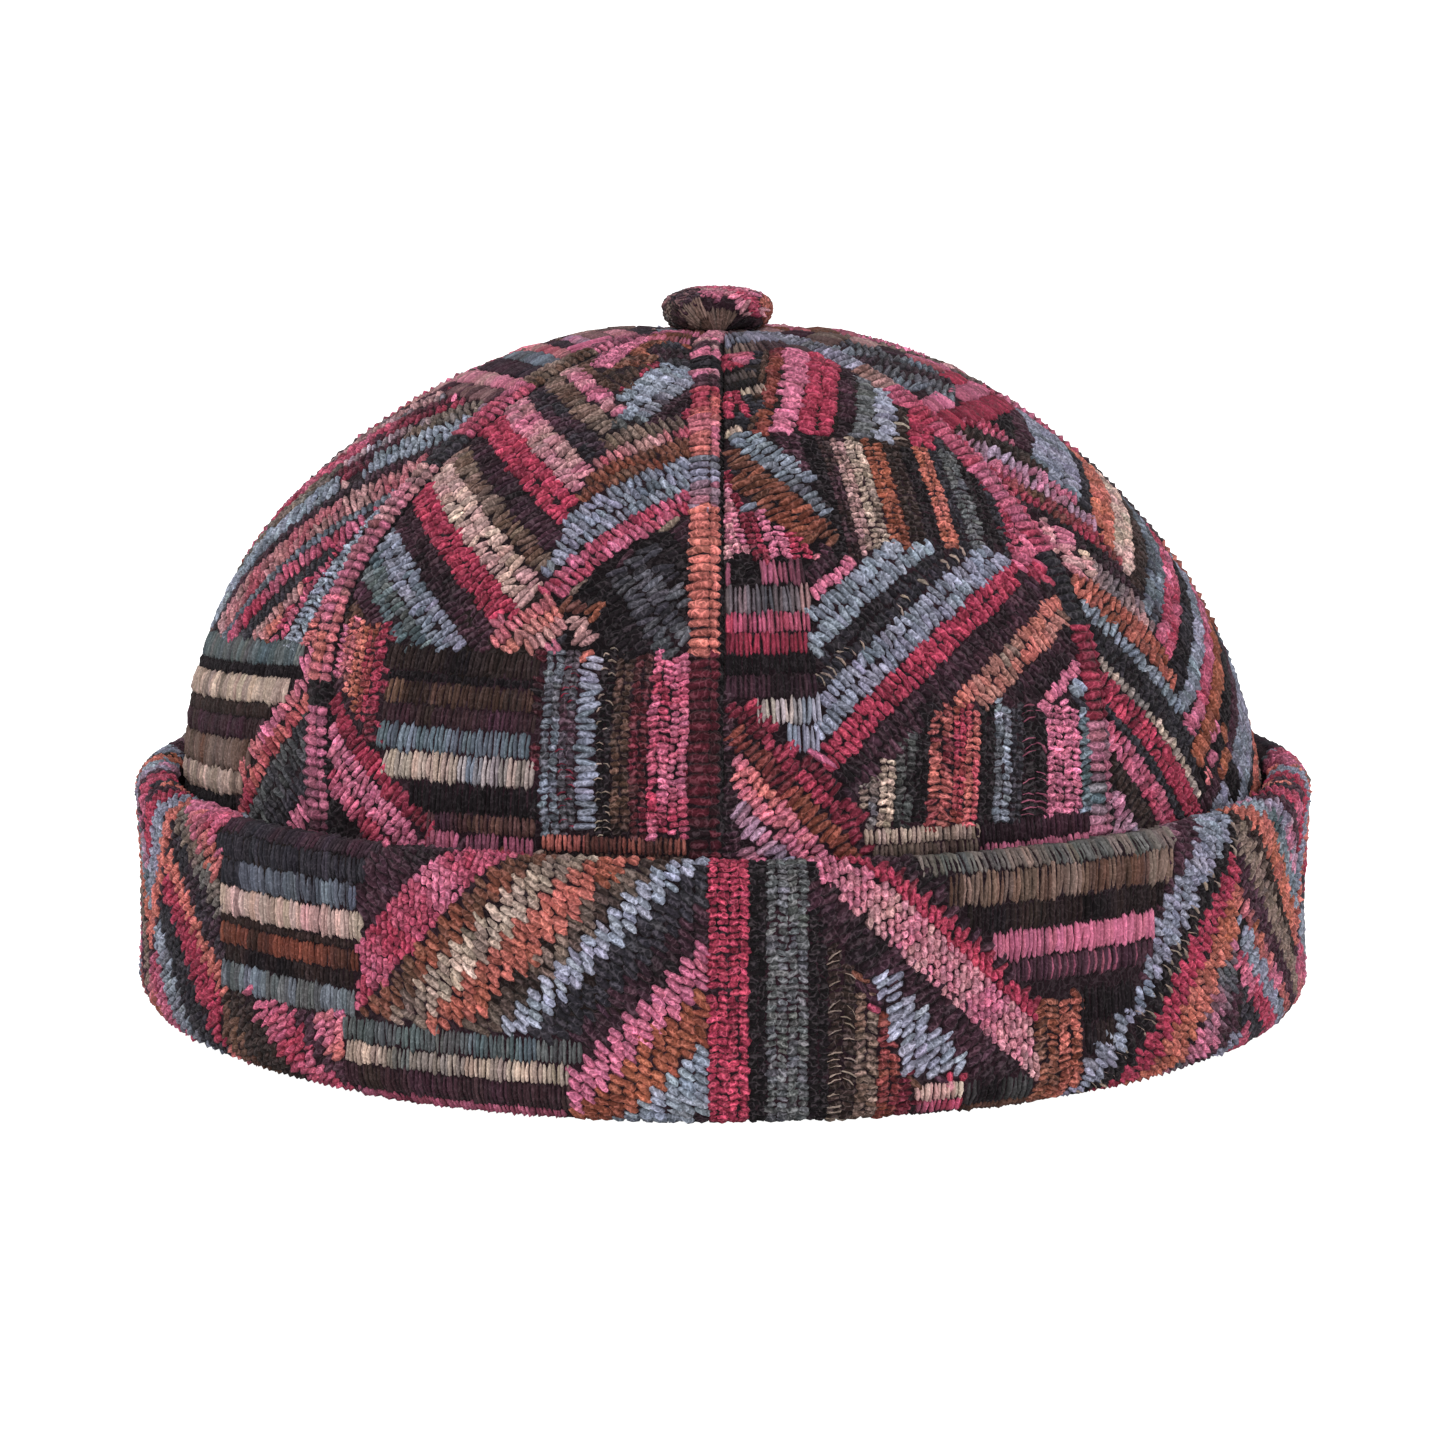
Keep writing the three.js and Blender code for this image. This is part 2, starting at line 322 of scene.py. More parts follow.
FRONT_RIGHT = [
    Patch([(-45, -6), (45, -6), (45, 135), (-45, 135)], 33, (-12.3, 48.3),
          "plum 4, raspberry/rose 4, charcoal 4, rust/brown 4"),
    Patch([(-30, 52), (-12, 52), (-12, 80), (-17, 90), (-30, 84)], 60, (-25, 62),
          "raspberry 3, rust/brown 4.5, mist 4, ice/lavender 3.2, charcoal 3"),
    Patch([(-26, 84), (-24, 76), (-14, 75), (-14, 84), (-17, 88)], 25, (-17, 86),
          "raspberry/burgundy 3, black 2.5, cream/taupe 1.8, taupe 3"),
    Patch([(-17, 72), (24, 70), (22, 84), (12, 106), (12, 135), (-15, 135), (-19, 90)], 65, (-16, 85),
          "charcoal 2.4, brown/espresso 1, rust/burgundy 2.4, rose 4, raspberry 5.2, plum/black 3, "
          "moss/slate 3.6, lavender/ice 3.6, espresso+cream 2.7, raspberry 4.5"),
    Patch([(-17, 90), (-16, 82), (-12, 82), (-12, 89)], 84, (-17, 86), "raspberry/burgundy 3, charcoal 3"),
    Patch([(-15.5, 99), (-17, 90), (-11, 88), (-9, 94), (-10, 99)], 10, (0, 99),
          "charcoal/taupe 3.4, black 3, cream/taupe 2.4, black 3"),
    Patch([(-12, 103), (-10, 97), (-7.5, 99), (-8, 104)], 60, (-12, 100), "raspberry/rose 4"),
    Patch([(-12, 104), (8, 104), (8, 135), (-12, 135)], 0, (0, 122), "lavender/slate 12, plum/taupe 6"),
    Patch([(-14, 50), (0, 48), (24, 45), (45, 45), (45, 72), (24, 72), (10, 73), (-13, 77)],
          84, (-14.5, 62),
          "plum 4, black 2.5, espresso/plum 2, dusty/taupe 2.2, taupe/cream 3, rust/orange 3.5, "
          "espresso 3, black 2.6, salmon/orange 3, charcoal 2, moss/slate 3.5, black 3.2, "
          "charcoal+raspberry 2.2, raspberry/rose 4.4, rust 3"),
    Patch([(-45, 50), (-14, 48), (-14, 70), (-24, 68), (-45, 62)], 90, (-29, 55),
          "rose/dusty 5, burgundy/raspberry 2.6, rose 3.5, raspberry 3, salmon/rose 3"),
    Patch([(-22, 78), (-15, 77), (-10, 64), (-11, 52), (-15, 54), (-23, 61)], -62, (-15, 77),
          "ice/mist 2.8, mist/slate 2.8, rust/brown 7"),
    Patch([(-45, 40.5), (-17, 40.5), (-15, 50), (-45, 50)], 0, (0, 50), "plum/rose 4.5, slate/dusty 5"),
    Patch([(-29, 46), (-24, 46), (-24, 51), (-28, 52)], 84, (-29, 46), "black 6"),
    Patch([(-45, 34), (-18, 34), (-17, 41), (-45, 41)], 0, (0, 41),
          "raspberry/rose 3.6, burgundy/raspberry 3.6"),
    Patch([(-45, 27), (-17, 27), (-18, 34.5), (-45, 34.5)], 0, (0, 34.5), "black 3.8, plum/black 3.8"),
    Patch([(-45, 18), (-20, 18), (-19, 27), (-45, 27)], 0, (0, 27),
          "ice/cream 4.2, lavender/ice 4.2, plum 3"),
    Patch([(-20, 16), (-17, 7), (1, 22), (9, 21), (45, 28), (45, 50), (24, 50), (-2, 52), (-16, 49),
           (-18, 40)], 36.5, (-12.3, 48.3),
          "rose 2.2, ice/mist 5.5, charcoal/black 2, charcoal+cream 2.2, lavender/mist 5.3, raspberry 4.3, "
          "plum/black 5.1, salmon/taupe 5.2, black/plum 5", 0.0025),
    Patch([(20, 45), (28, 44), (28, 52), (21, 52)], 40, (20, 52), "raspberry/rose 9"),
    Patch([(-17, 6), (45, 6), (45, 24), (25, 23.2), (11, 24.3), (-0.5, 25.2), (-6.4, 20.6), (-10.6, 17),
           (-17, 10)], 81, (-18.5, 15),
          "plum 4, taupe/slate 3, cream/taupe 2.5, black/moss 3, black 2.2, burgundy/salmon 4, "
          "raspberry/rust 2, salmon/raspberry 2.5, black 2.6, slate/ice 3, charcoal 2.2, black+rose 4.5, "
          "rose 7, teal/mist 4.5, black+rose 4"),
    Patch([(-16, -6), (4, -6), (4, 6.5), (-16, 6.5)], 0, (0, 6.8),
          "cream/taupe 2.4, taupe/espresso 2.4, burgundy 3"),
    Patch([(4, -6), (45, -6), (45, 6.5), (4, 6.5)], 0, (0, 6.8), "plum/black 3.4, rose/plum 3, black 3"),
    Patch([(-45, 30), (-30, 27), (-14, 9), (-14, -6), (-45, -6)], -50, (-29, 27),
          "burgundy/raspberry 4.5, rust/burgundy 3.5, rose/salmon 4.5, lavender/rose 3.5, rose/mist 3"),
    Patch([(-45, 0), (-33.5, 0), (-33, 33), (-45, 33)], 90, (-38, 10), "plum/black 3.2"),
]
FRONT_RIGHT_LAP = [
    Strip(24, "rose/teal"), Strip(15, "burgundy/raspberry"), Strip(14, "charcoal/black"),
    Strip(20, "rose/raspberry"), Strip(20, "raspberry/rose"), Strip(8, "dusty/brown"),
    Strip(50, "lavender/slate"),
]

RIGHT_SIDE = [
    Patch([(-45, -6), (45, -6), (45, 135), (-45, 135)], 5, (0, 104),
          "plum/charcoal 6, taupe/plum 6, dusty/taupe 5"),
    Patch([(-10, 80), (-10, 55), (-15, 30), (-17, 10), (-17, -6), (45, -6), (45, 80)], 29, (0, 78),
          "plum 3.5, lavender/mist 9.5, charcoal 2.6, salmon/orange 5, cream/dusty 4.5, espresso 3.5, "
          "mist/charcoal 4.5, raspberry/rose 4.5, black/charcoal 4, mist/lavender 3.5, rose/raspberry 3.5, "
          "rust/orange 4, black 4"),
    Patch([(-10, 55), (-10, 80), (-45, 80), (-45, -6), (-17, -6), (-17, 10), (-15, 30)], -57, (-11.3, 64.2),
          "rose/lavender 7, raspberry/brown 4.5, black/plum 4.5, slate/dusty 5.5, rust/salmon 5.8, "
          "mist/ice 3.4, charcoal/black 5.3, cream/slate 2, raspberry 5, charcoal 2, rose/raspberry 4.5, "
          "espresso 4"),
    Patch([(-45, 79), (45, 79), (45, 100), (-45, 100)], 5, (0, 100),
          "salmon/rose 8, raspberry 4, rose 4, raspberry/burgundy 5"),
    Patch([(-16, 88), (-9, 84), (1, 92), (-4, 108), (-12, 112)], -57, (-8, 108),
          "slate/mist 4, charcoal/plum 4, slate 4"),
    Patch([(-27, 44), (-20, 44), (-20, 57), (-26, 57)], 60, (-27, 50), "cream/rose 2, rose/dusty 4"),
    Patch([(-15, 7), (-12, 7), (-4, 15), (-7, 16)], 29, (-10, 14), "rose/salmon 5"),
    Patch([(-9, 7), (-4, 7), (3, 15), (-2, 15)], 29, (-3, 14), "orange/brown 5"),
    Patch([(-6, 2), (3, 2), (2, 8), (-5, 8)], 29, (0, 8), "black 6"),
]
RIGHT_SIDE_LAP = [
    Strip(30, "mist/charcoal"), Strip(18, "rust/salmon"), Strip(22, "plum/black"),
    Strip(20, "rose/raspberry"), Strip(50, "taupe/plum"),
]

LEFT_SIDE = [
    Patch([(-45, -6), (45, -6), (45, 135), (-45, 135)], 52, (-18, 64.8),
          "brown/slate 5, plum/charcoal 4, rust/taupe 5, charcoal 4"),
    Patch([(-45, 28), (16, 28), (22, 50), (45, 54), (45, 84), (-45, 84)], 52, (-18, 64.8),
          "dusty/slate 5, raspberry/rose 6, taupe/moss 5, ice/mist 6.5, plum/charcoal 3, "
          "dusty/raspberry 6.5, mist/slate 2, raspberry/rose 4, charcoal 3.5, dusty/salmon 4.5, plum 4"),
    Patch([(14, 28), (45, 28), (45, 54), (31, 58), (20, 58)], 88, (15, 40),
          "raspberry/rose 4, ice/mist 4.5, rose/salmon 4.5, plum 3, rust 3"),
    Patch([(22, 50), (28, 50), (28, 57), (22, 57)], 88, (22, 50), "black 6"),
    Patch([(-20, 82), (24, 82), (14, 135), (-12, 135)], 4, (0, 112),
          "plum/dusty 4, lavender/rose 3, plum/charcoal 3, raspberry/dusty 3, mist/slate 4, "
          "plum/charcoal 5, dusty/rose 4"),
    Patch([(-4, 60), (5, 58), (6, 80), (-3, 84)], 52, (-4, 70),
          "raspberry/plum 3, dusty/mist 3, plum/burgundy 3"),
    Patch([(2, 102), (10, 101), (9, 111), (3, 111)], 4, (0, 111), "rose 9"),
    Patch([(-45, -6), (45, -6), (45, 32), (29, 31), (-45, 25)], 5, (10, 30),
          "moss/teal 4.2, black 2, cream/taupe 4.2, espresso 2.5, plum/espresso 3.5, taupe/brown 5, "
          "cream/taupe 4, black 3"),
    Patch([(24, 30), (27, 26), (13, 3), (10, -6), (45, -6), (45, 31)], 54, (26.5, 25),
          "rose/salmon 3.2, raspberry/salmon 3.6, charcoal/moss 6, charcoal 4, rose 4"),
]
LEFT_SIDE_LAP = [
    Strip(25, "rose/plum"), Strip(4, "black"), Strip(14, "salmon/rose"), Strip(14, "rose/brown"),
    Strip(12, "dusty/rose"), Strip(8, "charcoal"), Strip(15, "rose/raspberry"), Strip(15, "brown/taupe"),
    Strip(40, "plum/rose"),
]

# Which chart and which lap each panel of the crown is cut from; the back repeats the charts of the front
PANEL_CHARTS = {
    1: (FRONT_RIGHT, FRONT_RIGHT_LAP),
    2: (RIGHT_SIDE, RIGHT_SIDE_LAP),
    3: (FRONT_LEFT, FRONT_LEFT_LAP),
    4: (LEFT_SIDE, LEFT_SIDE_LAP),
    5: (FRONT_RIGHT, FRONT_RIGHT_LAP),
    6: (RIGHT_SIDE, RIGHT_SIDE_LAP),
    7: (LEFT_SIDE, LEFT_SIDE_LAP),
    8: (FRONT_LEFT, FRONT_LEFT_LAP),
}

# The cuff's chart: x runs round from the front, to the right, and y up from under the fold and over the rim
CUFF_CHART = [
    Patch([(-135, -8), (135, -8), (135, 60), (-135, 60)], 46, (-51.5, 35.9),
          "rust/brown 5, plum 4, raspberry/rose 5, charcoal 4"),
    Patch([(-60, 16), (-25, 16), (-22, -8), (-2, -8), (-2, 60), (-46, 60), (-57, 40)], 46, (-51.5, 35.9),
          "raspberry/rose 8 2, brown/rust 3.8, taupe/cream 5, salmon/rust 5.2, espresso/taupe 3.3, "
          "ice/lavender 4.2, charcoal 4.8, plum/black 3.5, rose 4.7, rust/orange 6.3, ice/mist 7.5, "
          "plum/black 8"),
    Patch([(-2.3, -8), (32, -8), (28, 12), (14, 34), (13.5, 60), (-2.3, 60)], 90, (-2.3, 20),
          "raspberry 6.1, black 2.6, moss/slate 6.2, black 3, espresso+cream 4, taupe/brown 3.5, "
          "rust/burgundy 3.3, burgundy 4"),
    Patch([(13.5, 60), (13.5, 34), (40, 3), (52, 3), (52, 22), (32, 46), (32, 60)], -43, (33.1, 35.5),
          "burgundy/raspberry 1.2, raspberry 2.2 2, rose/dusty 5.8 2, plum/black 6"),
    Patch([(21.5, 26), (24.5, 26), (38.5, 10.6), (29, 10), (25, 16)], -43, (40, 12), "lavender/ice 12"),
    Patch([(29, -8), (37, -8), (37, 9), (29, 9)], 0, (0, 9), "rose/cream 3, raspberry/rose 3, plum 4"),
    Patch([(37, -8), (50, -8), (50, 8), (37, 9)], 0, (0, 9), "black/moss 5, brown 4"),
    Patch([(49, -8), (60, -8), (60, 22), (49, 19)], 90, (49, 10), "rust/brown 4.4, rust/salmon 4.4"),
    Patch([(26, 60), (27.5, 46), (29.4, 42.2), (32.8, 38.6), (35.2, 34.5), (40.8, 29), (45.8, 23.5),
           (49.4, 20), (70, 20), (80, 42), (82, 60)], 0, (0, 54),
          "slate/moss 7, moss/taupe 6.5, brown/taupe 5.3, black/espresso 4.3, rose 4.4, plum+rose 3.8"),
    Patch([(58, -8), (66, -8), (72, 20.5), (58, 20.5)], 0, (0, 20.5), "black 5, espresso/black 5"),
    Patch([(55, -8), (99, -8), (97, 30), (92, 60), (84, 60), (70, 19), (57, 7)], 49, (66.2, 22),
          "lavender/mist 7, black+cream 3.5, raspberry 5, salmon/orange 5.5, slate/rose 6, plum 4"),
    Patch([(90, 60), (96, 28), (98, -8), (135, -8), (135, 60)], -45, (118.8, 48),
          "raspberry/rose 4.5, plum 3.5, lavender/rose 3, teal/ice 3.2, salmon/orange 4, espresso 2.6, "
          "taupe 3.8, plum 3.9, orange/rose 2.4, lavender/mist 3.5, raspberry/rose 4, charcoal 4"),
    Patch([(-68, -8), (-27, -8), (-21, 16), (-62, 16)], 0, (0, 16),
          "moss/teal 3.6, cream/moss 3.2, plum/espresso 4.6, rose/burgundy 4.4, plum 6"),
    Patch([(-92, 60), (-92, 16), (-60, 16), (-57, 40), (-49, 60)], 0, (0, 54),
          "plum/black 8, charcoal/plum 5, charcoal 4.2, charcoal/mist 4.3, cream/dusty 4.7, espresso 1.4, "
          "rust/espresso 3.4, black/espresso 2.7, moss/mist 4.4"),
    Patch([(-92, -8), (-60, -8), (-62, 16), (-92, 16)], -45, (-64, 18),
          "salmon/rose 6, plum 3, raspberry/rose 7, espresso 6, brown 5"),
    Patch([(-135, -8), (-91, -8), (-91, 60), (-112, 60), (-135, 30)], -42, (-96.7, 42),
          "rose/orange 4.5, taupe/moss 4.5, charcoal/plum 5.8, salmon 3.2, raspberry 5.5, charcoal 6, "
          "ice/slate 5.5, rose/raspberry 6"),
    Patch([(-135, 6), (-124, 14), (-106, 42), (-104, 60), (-135, 60)], 55, (-112, 48),
          "lavender/mist 5, salmon 3, plum 4, raspberry 4"),
]

# The button's cloth, seen from above: x to the right and y to the back. It is finer than the rest, so its
# chart is drawn larger and taken down by BUTTON_SCALE.
BUTTON_CHART = [
    Patch([(-30, -30), (30, -30), (30, 30), (-30, 30)], 4, (0, -12),
          "plum/espresso 4, taupe/brown 4.5, brown/taupe 5, espresso/black 5"),
    Patch([(-30, -12), (-12, -10), (-14, 4), (-30, 6)], 80, (-30, 0), "brown/taupe 8, taupe/moss 8"),
    Patch([(-30, 7), (-17, -8), (-14, -14), (-6, -18), (-5, -14), (-8, -5), (-9, 13), (-30, 30)],
          20, (0, 10),
          "plum/charcoal 5, plum/dusty 4"),
    Patch([(-6, -18), (6, -16), (11, -18), (12, -22), (4, -21.5), (-6, -20)], 4, (0, 0),
          "black/espresso 10"),
    Patch([(-9, 30), (-9, -5), (-5, -14), (0, -16), (6, -16), (9, -18), (17, -16), (20, -9), (24, 0),
           (27, 20), (0, 30)], -30, (20, 10),
          "rose/dusty 4, raspberry/rose 5, dusty/rose 4, rose/plum 4"),
    Patch([(7, -21), (9, -18), (17, -16), (21, -14), (20, -22), (10, -27), (5, -26)], 4, (0, 0),
          "black/plum 10"),
    Patch([(15, -9), (20, -12), (26, -2), (24, 10), (18, 4)], 80, (17, 0), "rust/salmon 10"),
]

STITCH = np.dtype([
    ("x", float), ("y", float), ("turn", float), ("bend", float),
    ("long", float), ("wide", float), ("high", float), ("fuzz", float), ("tone", float, 3),
])


def linear(shade):
    """A colour from 0 to 255 as light."""
    share = np.asarray(shade, float) / 255
    return np.where(share <= 0.04045, share / 12.92, ((share + 0.055) / 1.055) ** 2.4)


def read_stripes(text):
    """The stripes of a patch, from its line in the chart."""
    stripes = []
    for entry in text.split(", "):
        yarns, width, *columns = entry.split(" ")
        yarns, _, dash = yarns.partition("+")
        first, _, second = yarns.partition("/")
        stripes.append(Stripe(first, second or first, dash, float(width), int(*columns)))
    return stripes


def spun(first, second, along, rng):
    """Colours of a row of stitches: the yarn drifts between two colours, and no two stitches are alike."""
    waves = np.zeros(along.shape)
    for length in DRIFT_WAVES:
        waves += np.sin(along * 2 * math.pi / length + rng.uniform(0, 2 * math.pi)) / len(DRIFT_WAVES)
    drift = SECOND_SHARE + DRIFT_REACH * waves + rng.normal(0, SHARE_SCATTER, along.shape)
    share = np.clip(drift, 0, 1)[:, None]
    tone = linear(YARNS[first]) * (1 - share) + linear(YARNS[second]) * share
    bright = np.exp(rng.normal(0, BRIGHT_SCATTER, along.shape) + BRIGHT_DRIFT * waves)[:, None]
    warm = 1 + rng.normal(0, HUE_SCATTER, (len(along), 3))
    return np.clip(tone * bright * warm, *TONE_RANGE)


def inside(corners, x, y):
    """Which points lie inside an outline."""
    within = np.zeros(x.shape, bool)
    for (x0, y0), (x1, y1) in zip(corners, corners[1:] + corners[:1]):
        if y0 != y1:
            reach = x0 + (y - y0) * (x1 - x0) / (y1 - y0)
            within ^= ((y0 > y) != (y1 > y)) & (x < reach)
    return within


def wobble(x, y):
    """Points moved a little aside, neighbours alike, which softens the patches' straight edges."""
    aside, up = x, y
    for reach, (aside_x, aside_y), (up_x, up_y) in WAVES:
        aside = aside + reach * np.sin(aside_y * y + aside_x * x)
        up = up + reach * np.sin(up_x * x + up_y * y)
    return aside, up


def stitches(x, y, turn, long, wide, tone):
    """A table of stitches in one yarn."""
    laid = np.zeros(len(x), STITCH)
    laid["fuzz"] = ROPE_FUZZ
    laid["x"], laid["y"], laid["turn"] = x, y, turn
    laid["long"], laid["wide"] = long, wide
    laid["high"] = STITCH_HEIGHT * (DARK_HEIGHT + LIGHT_HEIGHT * tone.max(1) ** 0.5)
    laid["tone"] = tone
    return laid


def floats(laid, yarn, shift_x, shift_y, rng):
    """Thin, slightly curved floats of another yarn between the stitches of a stripe."""
    chosen = laid[rng.random(len(laid)) < 1 / DASH_EVERY].copy()
    chosen["x"] += shift_x
    chosen["y"] += shift_y
    chosen["wide"] = DASH_WIDTH
    chosen["bend"] = DASH_BEND
    chosen["high"] = STITCH_HEIGHT
    chosen["fuzz"] = DASH_FUZZ
    chosen["tone"] = spun(yarn, yarn, chosen["y"], rng) * DASH_SHADE
    return chosen


def lay_rows(patch, rng):
    """Stitches in rows along the stripes: ribs on level ones, chains on steep ones, ropes between."""
    run = np.array([math.cos(math.radians(patch.runs)), math.sin(math.radians(patch.runs))])
    across = np.array([run[1], -run[0]])
    level, upright = abs(run[1]) <= LEVEL, abs(run[1]) >= UPRIGHT
    pitch = RIB_PITCH if level else CHAIN_PITCH if upright else ROPE_PITCH
    column = RIB_LENGTH if level else CHAIN_WIDTH if upright else ROPE_WIDTH
    strands = (-RIB_STRANDS, RIB_STRANDS) if level else (0,)
    wander = RIB_WANDER if level else ROPE_WANDER
    corners = np.array(patch.corners) - patch.start
    along, over = corners @ run, corners @ across
    stripes = read_stripes(patch.stripes)
    repeat = sum(stripe.width for stripe in stripes)
    sag = patch.bow * along**2
    edge = math.floor((over - sag).min() / repeat) * repeat
    rows = []
    while edge < over.max():
        for stripe in stripes:
            leaning = upright and not stripe.columns
            count = stripe.columns or max(1, round(stripe.width / column)) * (2 if leaning else 1)
            width = stripe.width / count
            start = rng.uniform(0, pitch)
            for i in range(count):
                middle = np.arange(along.min(), along.max(), pitch) + start
                middle += rng.normal(0, PITCH_STRAY * pitch, middle.shape)
                if not leaning:
                    start += pitch / 2
                tone = spun(stripe.yarn, stripe.second, middle, rng)
                stray = 0 if level else COLUMN_STRAY * width
                for strand in strands:
                    t = middle + strand
                    v = edge + (i + 0.5) * width + patch.bow * t**2 + rng.normal(0, stray, t.shape)
                    x, y = np.array(patch.start)[:, None] + run[:, None] * t + across[:, None] * v
                    turn = math.radians(patch.runs - 90) - 2 * patch.bow * t
                    turn += rng.normal(0, wander, t.shape)
                    if leaning:
                        turn += CHAIN_LEAN * (-1) ** i
                    long = width * (COLUMN_REACH if count > 1 else LONE_REACH)
                    thick = pitch / len(strands) * (RIB_OVERLAP if level else STITCH_OVERLAP)
                    shade = tone * np.exp(rng.normal(0, STRAND_STRAY, t.shape))[:, None]
                    laid = stitches(x, y, turn, long, thick, shade)
                    laid["bend"] = np.sign(strand) * RIB_BEND
                    laid["high"] *= CHAIN_RELIEF if leaning else 1
                    laid["fuzz"] = RIB_FUZZ if level else CHAIN_FUZZ if leaning else ROPE_FUZZ
                    rows.append(laid)
                if stripe.dash:
                    rows.append(floats(laid, stripe.dash, run[0] * pitch / 2, run[1] * pitch / 2, rng))
            edge += stripe.width
    return np.concatenate(rows)


def lay_slanted(patch, rng):
    """Slanting stripes of stitches stacked in upright wales. A stitch lies across its stripe, or, in a
    stripe with a number of columns, upright in so many strands to the wale."""
    angle = math.radians(patch.runs)
    run = (math.cos(angle), math.sin(angle))
    corners = np.array(patch.corners)
    low, high = corners.min(0), corners.max(0)
    stripes = read_stripes(patch.stripes)
    edges = np.cumsum([stripe.width for stripe in stripes])
    rows = []
    for index, stripe in enumerate(stripes):
        turn = math.pi / 2 if stripe.columns else SLANT_TURN * (angle - math.copysign(math.pi / 2, angle))
        spacing = WALE / max(1, stripe.columns)
        pitch = STRAND_PITCH if stripe.columns else SLANT_PITCH / math.cos(turn)
        long = STRAND_PITCH if stripe.columns else min(WALE / math.cos(turn), SLANT_LONGEST)
        wide = spacing if stripe.columns else SLANT_PITCH
        wales = np.arange(low[0], high[0] + spacing, spacing)
        rises = np.arange(low[1], high[1] + pitch, pitch)
        x, y = (grid.ravel() for grid in np.meshgrid(wales, rises))
        y = y + np.mod(x * math.tan(angle), pitch)
        x = x + rng.normal(0, SLANT_STRAY[0], x.shape)
        y = y + rng.normal(0, SLANT_STRAY[1], y.shape)
        off_x, off_y = x - patch.start[0], y - patch.start[1]
        along = off_x * run[0] + off_y * run[1]
        over = off_x * run[1] - off_y * run[0] - patch.bow * along**2
        place = np.searchsorted(edges, np.mod(over, edges[-1]), side="right")
        here = place == index
        tone = spun(stripe.yarn, stripe.second, along[here], rng)
        turned = turn - 2 * patch.bow * along[here] + rng.normal(0, SLANT_WANDER, here.sum())
        laid = stitches(x[here], y[here], turned, long * STITCH_OVERLAP, wide * SLANT_OVERLAP, tone)
        rows.append(laid)
        if stripe.dash:
            rows.append(floats(laid, stripe.dash, 0, pitch / 2, rng))
    return np.concatenate(rows)


def lay_chart(chart, lay_slanting, rng):
    """All stitches of a chart. A patch that lies over another hides the stitches under it."""
    rows = []
    for index, patch in enumerate(chart):
        steepness = abs(math.sin(math.radians(patch.runs)))
        slanting = LEVEL < steepness < UPRIGHT
        laid = lay_slanting(patch, rng) if slanting else lay_rows(patch, rng)
        x, y = wobble(laid["x"], laid["y"])
        shown = inside(patch.corners, x, y)
        for cover in chart[index + 1:]:
            shown &= ~inside(cover.corners, x, y)
        rows.append(laid[shown])
    return np.concatenate(rows)


def lay_lap(lap, edges, rng):
    """The topstitched strip beside a seam: a wide row of stitches, a narrow one, and a low dark one in the
    seam itself."""
    rows = []
    for inward, width in LAP_COLUMNS:
        level = 0
        for strip in lap:
            y = np.arange(level, level + strip.length, LAP_PITCH) + LAP_FOOT
            level += strip.length
            x = np.interp(y, edges[:, 0], edges[:, 2]) - inward
            first, _, second = strip.yarns.partition("/")
            tone = spun(first, second or first, y, rng)
            turn = rng.normal(0, LAP_WANDER, y.shape)
            rows.append(stitches(x, y, turn, width * STITCH_OVERLAP, LAP_PITCH * STITCH_OVERLAP, tone))
    y = np.arange(edges[0, 0], edges[-1, 0], SEAM_PITCH)
    x = np.interp(y, edges[:, 0], edges[:, 2]) - SEAM_INSET
    tone = spun(SEAM_YARN, SEAM_YARN, y, rng)
    seam = stitches(x, y, np.zeros(len(y)), SEAM_WIDTH, SEAM_PITCH * SEAM_OVERLAP, tone)
    seam["high"] = SEAM_HEIGHT
    rows.append(seam)
    return np.concatenate(rows)


def towards(azimuth, elevation):
    """Outward direction; azimuth from the front towards +X."""
    level = math.cos(elevation)
    return Vector((level * math.sin(azimuth), -level * math.cos(azimuth), math.sin(elevation)))


def hit(tree, azimuth, elevation):
    """Where the cloth is met on the way in towards the middle of the crown's foot, or None."""
    outward = towards(azimuth, elevation)
    centre = Vector((0, 0, CHART_ZERO))
    return tree.ray_cast(centre + outward * RAY_REACH, -outward)[0]


def measure_outline(trees):
    """The crown's outline, from the frame: elevation and radius for each length up the cloth."""
    elevations = np.radians(np.linspace(OUTLINE_LOW, OUTLINE_HIGH, OUTLINE_RAYS))
    points = []
    for elevation in elevations:
        left = hit(trees[PANELS], -PANEL_ANGLE / 2, elevation)
        right = hit(trees[1], PANEL_ANGLE / 2, elevation)
        radius = (left.xy.length + right.xy.length) / 2
        points.append((radius, (left.z + right.z) / 2))
    points = np.array(points)
    lengths = np.concatenate([[0], np.cumsum(np.hypot(*np.diff(points, axis=0).T))])
    lengths -= np.interp(0, elevations, lengths)
    return {"y": lengths / MM, "elevation": elevations, "radius": points[:, 0] / MM}


def panel_point(tree, middle, outline, x, y):
    """Where a place on a panel's chart lies on its cloth, or None."""
    elevation = np.interp(y, outline["y"], outline["elevation"])
    radius = np.interp(y, outline["y"], outline["radius"])
    return hit(tree, middle + x / radius, elevation)


def measure_edges(tree, middle, outline):
    """The panel's two seams on its chart: rows of y, the left x and the right x."""
    rows = []
    for y in np.arange(CLOTH_FOOT, CLOTH_TOP, EDGE_STEP, float):
        nominal = np.interp(y, outline["y"], outline["radius"]) * PANEL_ANGLE / 2
        search = np.arange(-SEAM_SEARCH, SEAM_SEARCH, SEAM_STEP)
        left = [x for x in search - nominal if panel_point(tree, middle, outline, x, y)]
        right = [x for x in search + nominal if panel_point(tree, middle, outline, x, y)]
        if left and right:
            rows.append((y, min(left), max(right)))
    return np.array(rows)


